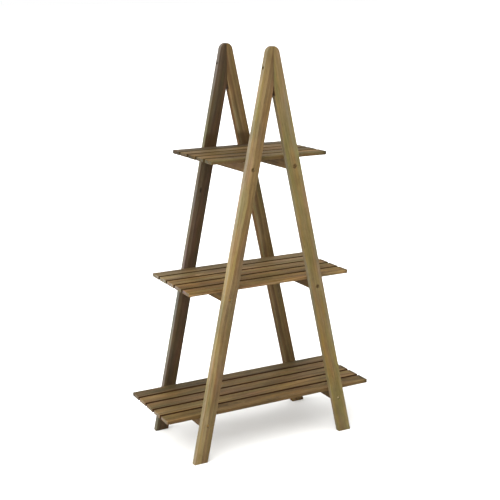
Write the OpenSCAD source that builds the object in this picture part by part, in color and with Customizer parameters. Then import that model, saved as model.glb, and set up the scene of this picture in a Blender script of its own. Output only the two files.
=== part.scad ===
// Plant ladder stand: two mitred A-frames of hardwood carrying three slatted shelves.
// X runs along the slats, Y from the front A-frame (-Y) to the back one (+Y), Z is up.
// The origin is on the floor, midway between the four feet.

/* [A-frames] */
// Height from the floor to the top of the rounded apex
stand_h = 1200; // [1100:10:1400]
// Width over the outer corners of the two feet of one A-frame
foot_spread = 545; // [460:5:640]
// Width of the leg timber, seen from the front
leg_w = 42; // [32:1:52]
// Thickness of the leg timber, front to back
leg_t = 18; // [16:1:28]
// Radius of the rounded apex
apex_r = 21; // [12:1:28]
// Radius of the eased edges of legs and bearers
edge_r = 2; // [0.5:0.5:3]
// Width of the fine chamfer on each side of the mitre seam
seam_chamfer = 0.8; // [0.3:0.1:1.5]

/* [Shelves] */
// Height of the bottom shelf's top face
bottom_shelf_z = 146; // [100:2:220]
// Height from one shelf's top face to the next
shelf_pitch = 372; // [300:2:410]
// Number of slats in each shelf
slat_count = 5; // [3:1:7]
// Width of one slat
slat_w = 46; // [34:1:60]
// Thickness of one slat
slat_t = 11; // [10:0.5:18]
// Gap between two slats
slat_gap = 9; // [4:1:16]
// Gap between an outer slat and the legs beside it
slat_side_gap = 2; // [1:0.5:6]
// How far the slats reach past the outer edges of the legs
overhang = 104; // [40:2:150]
// Radius of the eased edges and corners of the slats
slat_edge_r = 1.5; // [0.5:0.5:3]

/* [Bearers] */
// Width of a bearer, along the slats
bearer_w = 22; // [20:1:34]
// Height of a bearer
bearer_h = 33; // [26:1:46]

/* [Leg screws] */
// Diameter of the shank that runs through the leg into the bearer's end
leg_screw_d = 5; // [4:0.5:6]
// Diameter of the flat head
leg_screw_head_d = 9.5; // [8:0.5:11]
// Height of the flat head
leg_screw_head_h = 3; // [2:0.5:4]
// How far the head is sunk below the face of the timber
leg_screw_sink = 2.5; // [1:0.5:5]
// How far the shank reaches into the bearer
leg_screw_bite = 42; // [25:1:60]
// How far the screw sits below the middle of the bearer
leg_screw_low = 4; // [0:0.5:5]

/* [Apex joint] */
// How far the apex screw reaches past the mitre into the second leg
apex_screw_bite = 17; // [10:1:18]
// How far its head is sunk below the sloping edge of the first leg
apex_screw_sink = 4.5; // [3:0.5:7]
// Diameter of the hidden dowel across the mitre
dowel_d = 8; // [5:1:10]
// Length of the hidden dowel
dowel_len = 34; // [20:2:36]
// Glue space left beyond each end of the dowel
dowel_end_gap = 0.8; // [0.3:0.1:2]

/* [Slat screws] */
// Diameter of the shank that runs up through the bearer into the slat
slat_screw_d = 3.5; // [3:0.5:4]
// Diameter of the countersunk head
slat_screw_head_d = 7; // [6.5:0.5:8]
// How far the head is sunk into the underside of the bearer
slat_screw_sink = 5; // [1:0.5:8]
// How far the shank reaches into the slat
slat_screw_bite = 7; // [5:0.5:8]

/* [Hidden] */
$fn = 64;

// Clearance all round a shank or dowel in its hole, and round a head in its recess
bore_gap = 0.1;
head_gap = 0.3;
// Air left past the tip of a screw at the bottom of its pilot hole
tip_gap = 0.5;
// Timber left between the crossing holes in a bearer
bearer_web = 1.2;
// Where the dowel and the apex screw sit, as shares of the seam's height from the crotch
dowel_share = 0.22;
apex_screw_share = 0.51;
// Hexagon socket of the flat heads: its width as a share of the head, and its depth
socket_share = 0.45;
socket_depth = 1.6;
// Length of the tapered point as a share of the shank's diameter, and width of its tip
point_share = 1;
tip_share = 0.3;
// Slack by which a cutting shape runs past the face that it cuts
over = 1;

// Oiled hardwood of the front and back legs, the bearers and the slats; beech; plated steel
LEG_SHADES = ["#8f7a4e", "#57462f"];
BEARER_SHADE = "#6d5233";
SLAT_SHADES = ["#86704a", "#7c6647", "#8c7350", "#796243", "#8a7448"];
BEECH = "#c9a873";
STEEL = "#9a9690";

SHELVES = ["bottom", "middle", "top"];
SIDES = ["left", "right"];
ENDS = ["front", "back"];
function slat_name(shelf, i) = str(SHELVES[shelf], "_slat_", i + 1);
function bearer_name(shelf, side) = str(SHELVES[shelf], "_", SIDES[side], "_bearer");
function leg_name(end, side) = str(ENDS[end], "_", SIDES[side], "_leg");

// Depth of a shelf, of the space between the A-frames and of the whole stand
shelf_d = slat_count * slat_w + (slat_count - 1) * slat_gap;
inner_d = shelf_d + 2 * slat_side_gap;
stand_d = inner_d + 2 * leg_t;

// The outer edge of a leg runs from the foot's corner up to where it touches the apex circle
foot_x = foot_spread / 2;
apex_z = stand_h - apex_r;
apex_reach = norm([foot_x, apex_z]);
lean = atan2(foot_x, apex_z) - asin(apex_r / apex_reach);
edge_len = sqrt(apex_reach * apex_reach - apex_r * apex_r);
leg_cut_w = leg_w / cos(lean);
crotch_z = (foot_x - leg_cut_w) / tan(lean);
seam_h = stand_h - crotch_z;
dowel_z = crotch_z + dowel_share * seam_h;
apex_screw_z = crotch_z + apex_screw_share * seam_h;

// Places on a leg at a given height: its outer edge and its middle line
function outer_x(z) = foot_x - z * tan(lean);
function mid_x(z) = outer_x(z) - leg_cut_w / 2;

// Heights that belong to each shelf
function shelf_z(k) = bottom_shelf_z + k * shelf_pitch;
function bearer_top(k) = shelf_z(k) - slat_t;
function leg_screw_z(k) = bearer_top(k) - bearer_h / 2 - leg_screw_low;
function bearer_x(k) = mid_x(leg_screw_z(k));
function slat_len(k) = 2 * (outer_x(shelf_z(k) - slat_t / 2) + overhang);
function slat_y(i) = (i - (slat_count - 1) / 2) * (slat_w + slat_gap);

// A slat screw stands beside the leg screws, which run along the middle of the bearer
slat_screw_off = (leg_screw_d + slat_screw_d) / 2 + 2 * bore_gap + bearer_web;
slat_screw_len = bearer_h - slat_screw_sink + slat_screw_bite;
leg_screw_len = leg_t - leg_screw_sink - leg_screw_head_h + leg_screw_bite;
apex_seat_x = outer_x(apex_screw_z) - apex_screw_sink - leg_screw_head_h;
apex_screw_len = apex_seat_x + apex_screw_bite;

// ---------- shared shapes ----------

// Rectangle with rounded corners, centred
module rounded_rect(w, h, r) {
    square([w - 2 * r, h], center = true);
    square([w, h - 2 * r], center = true);
    for (sx = [-1, 1], sy = [-1, 1])
        translate([sx * (w / 2 - r), sy * (h / 2 - r)]) circle(r);
}

// Board lying along X, centred, with every edge and corner eased
module eased_board(l, w, t, r) {
    intersection() {
        rotate([90, 0, 90]) linear_extrude(l, center = true) rounded_rect(w, t, r);
        rotate([90, 0, 0]) linear_extrude(w, center = true) rounded_rect(l, t, r);
        linear_extrude(t, center = true) rounded_rect(l, w, r);
    }
}

// Flat-headed screw along Z: the head's seat is at z = 0 and the shank runs down to -len
module flat_screw(d, head_d, head_h, len) {
    point_h = d * point_share;
    difference() {
        union() {
            cylinder(h = head_h, d = head_d);
            translate([0, 0, point_h - len]) cylinder(h = len - point_h + head_h / 2, d = d);
            translate([0, 0, -len]) cylinder(h = point_h, d1 = d * tip_share, d2 = d);
        }
        translate([0, 0, head_h - socket_depth])
            cylinder(h = socket_depth + over, d = head_d * socket_share, $fn = 6);
    }
}

// Hole for that screw: recess above the seat, clearance bore down to the depth given
module flat_screw_hole(d, head_d, depth, recess) {
    translate([0, 0, -depth]) cylinder(h = depth + over, d = d + 2 * bore_gap);
    cylinder(h = recess, d = head_d + 2 * head_gap);
}

// Shank and head of a countersunk screw along Z: the top of the head is at z = 0
module countersunk_form(d, head_d, len) {
    cone_h = (head_d - d) / 2;
    translate([0, 0, -cone_h]) cylinder(h = cone_h, d1 = d, d2 = head_d);
    translate([0, 0, -len]) cylinder(h = len - cone_h / 2, d = d);
}

// Countersunk screw with a tapered point; its tip is at z = -len
module countersunk_screw(d, head_d, len) {
    point_h = d * point_share;
    countersunk_form(d, head_d, len - point_h);
    translate([0, 0, -len]) cylinder(h = point_h, d1 = d * tip_share, d2 = d);
}

// Hole for that screw, with a recess above its head
module countersunk_hole(d, head_d, depth, recess) {
    countersunk_form(d + 2 * bore_gap, head_d + 2 * bore_gap, depth);
    cylinder(h = recess, d = head_d + 2 * bore_gap);
}

// ---------- places ----------

// Puts a piece drawn for the front right corner at any of the four corners
module at_corner(end, side) {
    mirror([side == 0 ? 1 : 0, 0, 0])
        mirror([0, end, 0])
            translate([0, -stand_d / 2, 0]) children();
}

// Axis of a leg screw in the front right corner: z = 0 is the seat, +Z points out of the leg
module on_leg_screw(k) {
    translate([bearer_x(k), leg_screw_sink + leg_screw_head_h, leg_screw_z(k)])
        rotate([90, 0, 0]) children();
}

// Axis of the apex screw in the left leg, drawn in the mirrored corner
module on_apex_screw() {
    translate([apex_seat_x, leg_t / 2, apex_screw_z]) rotate([0, 90, 0]) children();
}

// Axes of the slat screws of one bearer: z = 0 is the top of the sunk head, tips point up
module on_slat_screws(k) {
    for (i = [0:slat_count - 1])
        translate([bearer_x(k) - slat_screw_off, slat_y(i), bearer_top(k) - bearer_h + slat_screw_sink])
            mirror([0, 0, 1]) children();
}

// ---------- A-frames ----------

// Leg of the front right corner with its front face at y = 0: a leaning bar that hangs from
// the middle of the rounded apex, cut off upright along the mitre and level at the floor
module leg_blank() {
    bar_len = edge_len + leg_t;
    intersection() {
        translate([0, leg_t / 2, apex_z]) rotate([0, -lean, 0]) {
            translate([apex_r - leg_w / 2, 0, 0])
                mirror([0, 0, 1]) linear_extrude(bar_len) rounded_rect(leg_w, leg_t, edge_r);
            rotate([90, 0, 0]) rotate_extrude() intersection() {
                rounded_rect(2 * apex_r, leg_t, edge_r);
                translate([0, -leg_t]) square([2 * apex_r, 2 * leg_t]);
            }
        }
        translate([0, -over, 0]) cube([foot_x + leg_w, leg_t + 2 * over, stand_h + over]);
    }
}

// Fine V along the seam, on the front and the back of the mitre
module seam_chamfers() {
    reach = seam_chamfer + over;
    for (face = [0, 1])
        translate([0, face * leg_t, crotch_z - over])
            mirror([0, face, 0])
                linear_extrude(seam_h + 2 * over)
                    polygon([[-over, -over], [reach, -over], [-over, reach]]);
}

// Leg with its bores; the left one takes the apex screw's head, the right one its tip
module leg(end, side) {
    color(LEG_SHADES[end]) at_corner(end, side) difference() {
        leg_blank();
        seam_chamfers();
        for (k = [0:2])
            on_leg_screw(k)
                flat_screw_hole(leg_screw_d, leg_screw_head_d, leg_t, leg_t);
        translate([0, leg_t / 2, dowel_z])
            rotate([0, 90, 0])
                cylinder(h = dowel_len + 2 * dowel_end_gap, d = dowel_d + 2 * bore_gap, center = true);
        if (side == 0)
            on_apex_screw()
                flat_screw_hole(leg_screw_d, leg_screw_head_d, apex_seat_x + over, leg_w);
        else
            translate([-over, leg_t / 2, apex_screw_z])
                rotate([0, 90, 0])
                    cylinder(h = over + apex_screw_bite + tip_gap, d = leg_screw_d + 2 * bore_gap);
    }
}

module apex_dowel(end) {
    color(BEECH) at_corner(end, 1)
        translate([0, leg_t / 2, dowel_z])
            rotate([0, 90, 0]) cylinder(h = dowel_len, d = dowel_d, center = true);
}

module apex_screw(end) {
    color(STEEL) at_corner(end, 0)
        on_apex_screw()
            flat_screw(leg_screw_d, leg_screw_head_d, leg_screw_head_h, apex_screw_len);
}

// ---------- shelves ----------

// Bar between the front and back legs, upright, with screw holes in its ends and underside
module bearer(k, side) {
    color(BEARER_SHADE) mirror([side == 0 ? 1 : 0, 0, 0]) difference() {
        translate([bearer_x(k), 0, bearer_top(k) - bearer_h / 2])
            rotate([90, 0, 0])
                linear_extrude(inner_d, center = true) rounded_rect(bearer_w, bearer_h, edge_r);
        for (end = [0, 1])
            mirror([0, end, 0])
                translate([bearer_x(k), -inner_d / 2 - over, leg_screw_z(k)])
                    rotate([-90, 0, 0])
                        cylinder(h = over + leg_screw_bite + tip_gap, d = leg_screw_d + 2 * bore_gap);
        on_slat_screws(k)
            countersunk_hole(slat_screw_d, slat_screw_head_d, slat_screw_len, slat_screw_sink + over);
    }
}

module slat(k, i) {
    color(SLAT_SHADES[(i + 2 * k) % len(SLAT_SHADES)]) difference() {
        translate([0, slat_y(i), shelf_z(k) - slat_t / 2])
            eased_board(slat_len(k), slat_w, slat_t, slat_edge_r);
        for (side = [0, 1])
            mirror([side, 0, 0])
                translate([bearer_x(k) - slat_screw_off, slat_y(i), bearer_top(k) - over])
                    cylinder(h = over + slat_screw_bite + tip_gap, d = slat_screw_d + 2 * bore_gap);
    }
}

// The four screws that hold a shelf's two bearers to the legs
module leg_screws(k) {
    color(STEEL)
        for (end = [0, 1], side = [0, 1])
            at_corner(end, side) on_leg_screw(k)
                flat_screw(leg_screw_d, leg_screw_head_d, leg_screw_head_h, leg_screw_len);
}

// One screw up into each slat from each bearer
module slat_screws(k) {
    color(STEEL)
        for (side = [0, 1])
            mirror([side, 0, 0]) on_slat_screws(k)
                countersunk_screw(slat_screw_d, slat_screw_head_d, slat_screw_len);
}

// ---------- nodes ----------

for (e = [0:1], s = [0:1])
    leg(e, s);
for (e = [0:1])
    apex_dowel(e);
for (e = [0:1])
    apex_screw(e);
for (k = [0:2], s = [0:1])
    bearer(k, s);
for (k = [0:2], i = [0:slat_count - 1])
    slat(k, i);
for (k = [0:2])
    leg_screws(k);
for (k = [0:2])
    slat_screws(k);
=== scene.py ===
"""Plant ladder stand in oiled hardwood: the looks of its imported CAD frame.

Two mitred A-frames carry three slatted shelves. Legs and bearers keep their CAD meshes
and get timber made of nodes. Geometry Nodes make what repeats: the slats, the screws
and the fluted dowels. Lengths are in metres, and grain is worked out in millimetres.
"""

import math
from functools import partial

import bpy
from bpy.props import FloatProperty, FloatVectorProperty, IntProperty, PointerProperty
from bpy.types import Operator, Panel, PropertyGroup
from mathutils import Matrix, Vector


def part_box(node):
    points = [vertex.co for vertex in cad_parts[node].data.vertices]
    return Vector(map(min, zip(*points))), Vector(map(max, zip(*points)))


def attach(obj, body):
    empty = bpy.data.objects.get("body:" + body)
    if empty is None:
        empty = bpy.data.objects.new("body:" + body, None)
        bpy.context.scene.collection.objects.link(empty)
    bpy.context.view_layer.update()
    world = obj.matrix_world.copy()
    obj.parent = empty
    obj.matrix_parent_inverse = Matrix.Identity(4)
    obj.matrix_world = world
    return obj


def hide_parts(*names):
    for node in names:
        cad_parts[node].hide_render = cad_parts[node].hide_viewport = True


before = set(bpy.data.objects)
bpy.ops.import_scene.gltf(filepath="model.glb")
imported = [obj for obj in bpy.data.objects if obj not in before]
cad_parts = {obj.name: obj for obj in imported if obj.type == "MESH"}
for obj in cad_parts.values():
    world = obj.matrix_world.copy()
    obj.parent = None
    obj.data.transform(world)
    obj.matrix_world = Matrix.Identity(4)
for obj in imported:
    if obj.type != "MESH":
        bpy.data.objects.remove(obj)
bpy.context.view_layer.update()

bl_info = {
    "name": "Plant Ladder Stand",
    "version": (1, 0, 0),
    "blender": (4, 5, 0),
    "location": "View3D > Sidebar > Ladder Stand",
    "description": "Oiled hardwood looks for the plant ladder stand",
    "category": "Object",
}

MM = 0.001
NODE_STEP = 220

SHELVES = ("bottom", "middle", "top")
SIDES = ("left", "right")
ENDS = ("front", "back")
SLATS = (1, 2, 3, 4, 5)
SLATS_BY_WOOD = {"olive": (1, 3, 5), "red": (2, 4)}

# ---------- what the frame tells ----------


def middle_of(node):
    """Middle of a CAD node's box."""
    low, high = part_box(node)
    return (low + high) / 2


def size_of(node):
    """Size of a CAD node's box."""
    low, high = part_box(node)
    return high - low


def screw_row(node):
    """Place of the outermost flat heads of a shelf: middle line x, height and head width."""
    low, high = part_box(node)
    width = high.z - low.z
    return high.x - width / 2, (low.z + high.z) / 2, width


LOW_X, LOW_Z, HEAD_W = screw_row("bottom_leg_screws")
HIGH_X, HIGH_Z, _ = screw_row("top_leg_screws")
LEAN = math.atan2(LOW_X - HIGH_X, HIGH_Z - LOW_Z)  # of a leg, from upright
LEG_T = size_of("front_left_leg").y
FOOT_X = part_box("front_right_leg")[1].x
LEG_W = 2 * (FOOT_X - LOW_Z * math.tan(LEAN) - LOW_X) * math.cos(LEAN)
CROTCH_Z = LOW_Z + (LOW_X - LEG_W / 2 / math.cos(LEAN)) / math.tan(LEAN)  # inner edges meet
TOP_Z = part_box("front_left_leg")[1].z
SHELF_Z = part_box("top_slat_5")[1].z  # of the top shelf
SHELF_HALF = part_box("bottom_slat_5")[1].y
SLAT_PITCH = middle_of("bottom_slat_2").y - middle_of("bottom_slat_1").y
SLAT_HALF = size_of("bottom_slat_1").y / 2


def leg_middle(x_side, y, z):
    """Point on the middle line of a leg at a height."""
    return Vector((x_side * (LOW_X - (z - LOW_Z) * math.tan(LEAN)), y, z))


def leg_turn(x_side):
    """Turn of a leg's own space: X runs up the leg, Y points left and Z to the front."""
    up = Vector((-x_side * math.sin(LEAN), 0, math.cos(LEAN)))
    front = Vector((0, -1, 0))
    return Matrix((up, front.cross(up), front)).transposed().to_euler()


# ---------- colours and properties ----------


def linear(hex_colour):
    """An sRGB hex colour as linear red, green, blue and alpha."""
    shares = [int(hex_colour[i : i + 2], 16) / 255 for i in (1, 3, 5)]
    return (
        *(s / 12.92 if s <= 0.04045 else ((s + 0.055) / 1.055) ** 2.4 for s in shares),
        1.0,
    )


def colour(name, description, hex_colour):
    """A colour that a user would change, given as sRGB hex."""
    bounds = {"size": 4, "min": 0, "max": 1}
    default = linear(hex_colour)
    return FloatVectorProperty(
        name=name, description=description, subtype="COLOR", default=default, **bounds
    )


def length(name, description, default):
    """A length that a user would change."""
    kind = {"subtype": "DISTANCE", "unit": "LENGTH", "min": 0, "precision": 5}
    return FloatProperty(name=name, description=description, default=default, **kind)


def factor(name, description, default, low=0, high=1):
    """A plain number that a user would change."""
    return FloatProperty(
        name=name, description=description, subtype="FACTOR", default=default, min=low, max=high
    )


def strength(name, description, default):
    """The strength of a light that a user would change."""
    return FloatProperty(name=name, description=description, min=0, default=default)


def row(name, description, default, low=-1):
    """A row of plain numbers, one for each of a few like pieces."""
    bounds = {"size": len(default), "min": low, "max": 1}
    return FloatVectorProperty(name=name, description=description, default=default, **bounds)


def title(name):
    """The label of a property, from its name in the code."""
    return name.replace("_", " ").capitalize()


# ---------- sizes and colours that a user would change ----------


class LadderGrain(PropertyGroup):
    """Sizes of the grain of the hardwood"""

    ring_gap: length("Ring gap", "Usual distance between two growth zones", 7 * MM)
    fibre_gap: length("Fibre gap", "Width of the finer streaks that run along the grain", 2.6 * MM)
    fibre_length: length("Fibre length", "Length of those streaks", 150 * MM)
    pore_gap: length("Pore gap", "Width of the open pores", 0.5 * MM)
    pore_length: length("Pore length", "Length of the open pores", 10 * MM)
    wander: length("Wander", "How far the growth zones wander across a board", 30 * MM)
    wobble: length("Wobble", "How far they wobble on their way", 3.2 * MM)
    wear: length("Wear", "Width of the paler, sanded band along every edge", 2.6 * MM)


LEG_PARTS = {
    "heart": "Ground colour of the heartwood",
    "vein": "Darker growth zones",
    "sap": "Paler sapwood along one edge",
    "flank": "Narrow left and right sides",
}
LEG_TINTS = {
    "front_left": ("#5b4930", "#3d2c15", "#705f3f", "#71664e"),
    "front_right": ("#5b4d2e", "#392d16", "#605338", "#5d5038"),
    "back_left": ("#3a2c1d", "#241b10", "#473b2a", "#565044"),
    "back_right": ("#57462b", "#392916", "#64573b", "#462f0e"),
}


class LadderLegs(PropertyGroup):
    """Timber of the four legs"""

    __annotations__ = {
        f"{corner}_{part}": colour(title(f"{corner}_{part}"), LEG_PARTS[part], tint)
        for corner, tints in LEG_TINTS.items()
        for part, tint in zip(LEG_PARTS, tints)
    }
    end: colour("End grain", "Dull ends of every board", "#4c4232")
    stain: colour("Stain", "Squeezed-out glue and oil, and bruised fibres", "#32220f")


class LadderBearers(PropertyGroup):
    """Timber of the six bearers"""

    heart: colour("Heartwood", "Ground colour", "#513c19")
    vein: colour("Veins", "Darker growth zones", "#341e09")
    sap: colour("Sapwood", "Paler wood", "#5f471c")
    left_tones: row(
        "Left tones",
        "Lightness of the left bearers, bottom to top, 0.5 is as the colours say",
        (0.56, 0.44, 1.0),
        low=0,
    )
    right_tones: row(
        "Right tones", "Lightness of the right bearers, bottom to top", (0.0, 0.08, 0.95), low=0
    )
    weathering: row(
        "Weathering", "How far the bearers have greyed, bottom to top", (0.15, 0.0, 0.25), low=0
    )


SHELF_TINTS = {
    "flank": ("Front and back of its slats", ("#46351b", "#493922", "#4b402a")),
    "end": ("Greyed end grain of its slats", ("#5d5445", "#696355", "#454234")),
    "stain": ("Oil that dried in its gaps", ("#2b1602", "#2b1c05", "#31240e")),
}
# Rows of the five slats of the bottom, middle and top shelf, front to back
SLAT_ROWS = {
    "tones": (
        "Lightness of the slats, front to back, 0.5 is as the colours say",
        (
            (0.51, 0.85, 0.62, 0.62, 0.18),
            (0.75, 0.42, 0.75, 0.89, 0.89),
            (0.61, 0.14, 0.37, 0.3, 0.06),
        ),
    ),
    "casts": (
        "Hue of the slats, front to back, from olive at -1 to mauve at 1",
        ((0.2, 0.1, 0.65, -0.2, 0), (0.4, 0.2, 0.5, 0.4, -0.1), (0, 0, 0.2, 0.3, 0.3)),
    ),
    "weathering": (
        "How far the slats have greyed, front to back",
        ((0.11, 0.15, 0.19, 0.16, 0.27), (0, 0, 0.07, 0.21, 0.27), (0.12, 0.1, 0.02, 0.16, 0.34)),
    ),
    "end_tones": (
        "Lightness of the end grain, front to back, less where it soaked up more oil",
        ((1, 0.87, 0.72, 0.92, 1), (0.5, 1, 0.82, 0.8, 0.88), (0.79, 1, 0.4, 0.9, 0.62)),
    ),
}


class LadderSlats(PropertyGroup):
    """Shape and timber of the fifteen slats"""

    __annotations__ = {
        f"{shelf}_{what}": make(title(f"{shelf}_{what}"), description, value)
        for make, table in ((colour, SHELF_TINTS), (row, SLAT_ROWS))
        for what, (description, values) in table.items()
        for shelf, value in zip(SHELVES, values)
    }
    edge_radius: length("Edge radius", "Radius of the eased edges", 1.5 * MM)
    edge_wander: factor(
        "Edge wander", "How unevenly the edges were sanded, as a share of their radius", 0.45, 0, 0.8
    )
    wander_pitch: length(
        "Wander pitch", "Usual distance between two softer places of an edge", 45 * MM
    )
    olive_heart: colour("Olive heartwood", "Ground colour of slats 1, 3 and 5", "#5d4924")
    olive_vein: colour("Olive veins", "Darker growth zones of those slats", "#3b2b10")
    red_heart: colour("Red heartwood", "Ground colour of slats 2 and 4", "#614d28")
    red_vein: colour("Red veins", "Darker growth zones of those slats", "#3f2d11")
    sap: colour("Sapwood", "Paler wood in the slats", "#6b5930")
    rises: row(
        "Rises", "How much lighter the slats get towards the right, bottom to top", (0.05, 0.3, 0.2)
    )
    bright_flank: factor(
        "Bright flank", "How much lighter the front of the middle shelf's front slat is", 1.9, 1, 3
    )


class LadderScrews(PropertyGroup):
    """Sizes and finish of the screws and dowels"""

    head_height: length("Flat head height", "Height of the flat heads", 3 * MM)
    head_rim: length("Flat head rim", "Height and width of the eased rim of a flat head", 0.5 * MM)
    shank_width: length("Flat head shank", "Outer width of the thread", 5 * MM)
    shank_length: length("Flat head length", "From under the head to the tip", 54.5 * MM)
    plain_length: length("Flat head plain part", "Shank without a thread", 16 * MM)
    pitch: length("Flat head pitch", "Distance between two turns of the thread", 2.4 * MM)
    drive_width: length("Hexagon width", "Width of the socket over its corners", 4.3 * MM)
    drive_depth: length("Hexagon depth", "Depth of the socket", 1.6 * MM)
    slat_rim: length("Slat screw rim", "Height and width of the eased rim of its head", 0.2 * MM)
    slat_shank_width: length("Slat screw shank", "Outer width of the thread", 3.5 * MM)
    slat_plain_length: length("Slat screw plain part", "Shank without a thread", 12 * MM)
    slat_pitch: length("Slat screw pitch", "Distance between two turns", 1.8 * MM)
    cross_width: length("Cross width", "Width of the cross recess over its arms", 4.2 * MM)
    cross_arm: length("Cross arm", "Width of one arm of the recess", 0.9 * MM)
    cross_depth: length("Cross depth", "Depth of the cross recess", 1.4 * MM)
    flutes: IntProperty(
        name="Flutes", description="Number of flutes round a dowel", min=6, max=40, default=18
    )
    flute_depth: length("Flute depth", "Depth of one flute", 0.35 * MM)
    dowel_chamfer: length("Dowel chamfer", "Chamfer of a dowel's ends", 1 * MM)
    steel: colour("Yellow zinc", "Plated steel where it is bright", "#b5aa83")
    tarnish: colour("Tarnish", "Film of oil and wood dust on the flat heads", "#7d6339")
    left_films: row(
        "Left films", "Lightness of the film in the left legs, bottom to top", (0.8, 0.9, 0.4), low=0
    )
    right_films: row(
        "Right films",
        "Lightness of the film in the right legs, bottom to top",
        (0.6, 0.35, 0.5),
        low=0,
    )
    apex_film: factor("Apex film", "Lightness of the film on the heads beside the apexes", 0.05)
    slat_film: factor("Slat screw film", "Lightness of the film on the screws under the shelves", 0.4)
    wiped_shine: factor(
        "Wiped shine", "Share of bright zinc on the one flat head that was wiped clean", 0.5
    )
    clean_shine: factor("Clean shine", "Share of bright zinc on the screws under the shelves", 0.75)
    beech: colour("Beech", "Ground colour of the dowels", "#b08d5c")
    beech_vein: colour("Beech flecks", "Darker flecks of the dowels", "#8f6c41")


class LadderStage(PropertyGroup):
    """Floor, lights and camera"""

    paper: colour("Floor", "Plain pale floor", "#e8e8e6")
    sky: strength("Sky", "Strength of the even light from all round", 1.0)
    key: strength("Key light", "Strength of the soft light from the left", 6.0)
    top: strength("Top light", "Strength of the soft light from above", 1.6)
    lens: FloatProperty(
        name="Lens",
        description="Focal length on a 36 mm wide sensor",
        subtype="DISTANCE_CAMERA",
        min=10,
        default=74.42,
    )


class LadderStand(PropertyGroup):
    """All settings of the stand"""

    grain: PointerProperty(type=LadderGrain)
    legs: PointerProperty(type=LadderLegs)
    bearers: PointerProperty(type=LadderBearers)
    slats: PointerProperty(type=LadderSlats)
    screws: PointerProperty(type=LadderScrews)
    stage: PointerProperty(type=LadderStage)


# ---------- nodes ----------

MATH, VECTOR, RANGE = "ShaderNodeMath", "ShaderNodeVectorMath", "ShaderNodeMapRange"
SPLIT, JOIN = "ShaderNodeSeparateXYZ", "ShaderNodeCombineXYZ"
NOISE, MIX = "ShaderNodeTexNoise", "ShaderNodeMix"
TURN, CUT = "GeometryNodeTransform", "GeometryNodeMeshBoolean"
SMOOTH = {"interpolation_type": "SMOOTHSTEP"}
RGB = {"data_type": "RGBA"}


def add_node(tree, kind, inputs=(), operation=None, out=None, **settings):
    """Adds a node to a tree, with its operation and other settings. Its inputs, by name or in
    order, take values or other nodes' outputs. Returns its first output, or the one named out."""
    node = tree.nodes.new(kind)
    node.location.x = NODE_STEP * len(tree.nodes)
    if operation:
        settings["operation"] = operation
    for name, value in settings.items():
        setattr(node, name, value)
    shown = [s for s in node.inputs if s.enabled]
    given = inputs.items() if isinstance(inputs, dict) else enumerate(inputs)
    for key, value in given:
        socket = shown[key] if isinstance(key, int) else next(s for s in shown if s.name == key)
        if isinstance(value, bpy.types.NodeSocket):
            tree.links.new(value, socket)
        else:
            socket.default_value = value
    found = [s for s in node.outputs if s.enabled and out in (None, s.name)]
    return found[0] if found else node


def new_group(name, kind, inputs, outputs):
    """A node group with sockets of the named types, its inputs, and a function that adds nodes to
    it, which is None where the group was made before."""
    if name in bpy.data.node_groups:
        return bpy.data.node_groups[name], None, None
    tree = bpy.data.node_groups.new(name, kind)
    for direction, sockets in (("INPUT", inputs), ("OUTPUT", outputs)):
        for type_name, names in sockets.items():
            for socket in names.split(", "):
                tree.interface.new_socket(socket, in_out=direction, socket_type="NodeSocket" + type_name)
    add_node(tree, "NodeGroupInput")
    return tree, tree.nodes[0].outputs, partial(add_node, tree)


def new_material(name):
    """An empty material, and a function that adds nodes to it."""
    material = bpy.data.materials.new(name)
    material.use_nodes = True
    material.node_tree.nodes.clear()
    return material, partial(add_node, material.node_tree)


def weighted(add, total, *terms):
    """Adds nodes for total plus each of the terms times its weight."""
    for term, weight in terms:
        total = add(MATH, [term, weight, total], "MULTIPLY_ADD")
    return total


# ---------- timber ----------

# Length along the grain and width across it, in millimetres, of what the grain is made of
BEND, WOBBLE = (420, 150), (75, 20)
KNOT_CELL, PATCH, BLOTCH, MINERAL_STREAK = (95, 34), (150, 40), (38, 11), (130, 18)
SAP_RAGGED, SAP_BORDER = 5.0, 3  # millimetres: how ragged and how soft the sapwood's border is
# Strength in red, green and blue of the drift of hue, and what a full cast adds to each
HUE_SWING, FULL_CAST = (0.6, 0.16, 1.0), (0.035, -0.035, 0.13)
WEATHERED = (1.04, 1.0, 0.88)  # the faintly warm grey of weathered wood
DIPPED_END, BLEACHED_END = 0.75, 0.15  # how much darker and how much paler the ends are
DIPPED_REACH, BLEACHED_REACH = 18, (10, 90)  # millimetres from the end grain
RISE_SPAN = 600  # millimetres over which Rise makes a board lighter


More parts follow.
